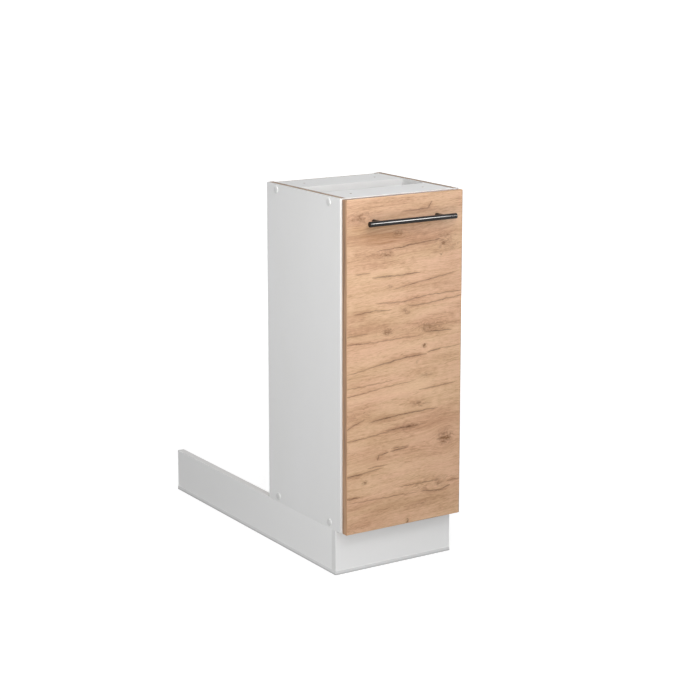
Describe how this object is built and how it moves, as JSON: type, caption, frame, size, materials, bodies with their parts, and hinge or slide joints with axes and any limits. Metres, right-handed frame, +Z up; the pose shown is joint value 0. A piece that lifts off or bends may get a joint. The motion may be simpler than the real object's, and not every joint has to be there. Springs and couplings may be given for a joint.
{
  "type": "kitchen base cabinet",
  "caption": "Narrow kitchen base cabinet with an oak-decor door, bar handle, shelf, open railed top, levelling legs and a plinth with a soft seal on the front and one side.",
  "frame": {"origin": "on the floor, under the middle of the overall outline", "axes": "+Z up, +X to the cabinet's right seen from the front, the door faces -Y"},
  "size_m": [0.3046, 0.805, 0.82],
  "materials": {
    "white_melamine": "satin white melamine on chipboard",
    "white_hardboard": "white lacquered hardboard",
    "white_edge_band": "satin",
    "oak_decor": "oak decor foil, fine pores",
    "oak_edge_band": "oak print",
    "dark_metal": "polished dark metal",
    "steel": "nickel plated",
    "zinc_screw": "zinc plated",
    "white_plastic": "smooth",
    "black_plastic": "moulded",
    "grey_seal": "soft matt",
    "beech": "raw, fluted",
    "clear_bumper": "clear soft"
  },
  "bodies": {
    "carcass": {"back_panel": "white_hardboard", "bottom_edge_band": "white_edge_band", "bottom_panel": "white_melamine", "carcass_dowels": "beech", "door_bumpers": "clear_bumper", "front_left_leg_socket": "black_plastic", "front_plinth_clips": "black_plastic", "front_plinth_panel": "white_melamine", "front_plinth_seal": "grey_seal", "front_rail_edge_band": "white_edge_band", "front_right_leg_socket": "black_plastic", "front_top_rail": "white_melamine", "hinge_plate_screws": "zinc_screw", "left_connecting_screws": "zinc_screw", "left_cover_caps": "white_plastic", "left_side_edge_band": "white_edge_band", "left_side_panel": "white_melamine", "leg_socket_screws": "zinc_screw", "lower_hinge_arm": "steel", "lower_mounting_plate": "steel", "plinth_corner_bracket": "steel", "rear_left_leg_socket": "black_plastic", "rear_rail_edge_band": "white_edge_band", "rear_right_leg_socket": "black_plastic", "rear_top_rail": "white_melamine", "right_connecting_screws": "zinc_screw", "right_cover_caps": "white_plastic", "right_side_edge_band": "white_edge_band", "right_side_panel": "white_melamine", "shelf": "white_melamine", "shelf_edge_band": "white_edge_band", "shelf_pins": "steel", "side_plinth_clips": "black_plastic", "side_plinth_panel": "white_melamine", "side_plinth_seal": "grey_seal", "upper_hinge_arm": "steel", "upper_mounting_plate": "steel"},
    "door": {"door_bottom_edge_band": "oak_edge_band", "door_left_edge_band": "oak_edge_band", "door_panel": "oak_decor", "door_right_edge_band": "oak_edge_band", "door_top_edge_band": "oak_edge_band", "handle_bar": "dark_metal", "handle_screws": "zinc_screw", "hinge_cup_screws": "zinc_screw", "left_handle_post": "dark_metal", "lower_hinge_cup": "steel", "lower_hinge_pin": "steel", "right_handle_post": "dark_metal", "upper_hinge_cup": "steel", "upper_hinge_pin": "steel"},
    "front_left_foot": {"front_left_leg_foot": "black_plastic"},
    "front_right_foot": {"front_right_leg_foot": "black_plastic"},
    "rear_left_foot": {"rear_left_leg_foot": "black_plastic"},
    "rear_right_foot": {"rear_right_leg_foot": "black_plastic"}
  },
  "joints": [
    {"name": "door_swing", "type": "hinge", "parent": "carcass", "child": "door", "pos_m": [0.141, -0.3595, 0.459], "axis": [0, 0, 1], "range_deg": [0, 95]},
    {"name": "front_left_levelling", "type": "slide", "parent": "carcass", "child": "front_left_foot", "axis": [0, 0, -1], "range_m": [0, 0.015]},
    {"name": "front_right_levelling", "type": "slide", "parent": "carcass", "child": "front_right_foot", "axis": [0, 0, -1], "range_m": [0, 0.015]},
    {"name": "rear_left_levelling", "type": "slide", "parent": "carcass", "child": "rear_left_foot", "axis": [0, 0, -1], "range_m": [0, 0.015]},
    {"name": "rear_right_levelling", "type": "slide", "parent": "carcass", "child": "rear_right_foot", "axis": [0, 0, -1], "range_m": [0, 0.015]}
  ]
}
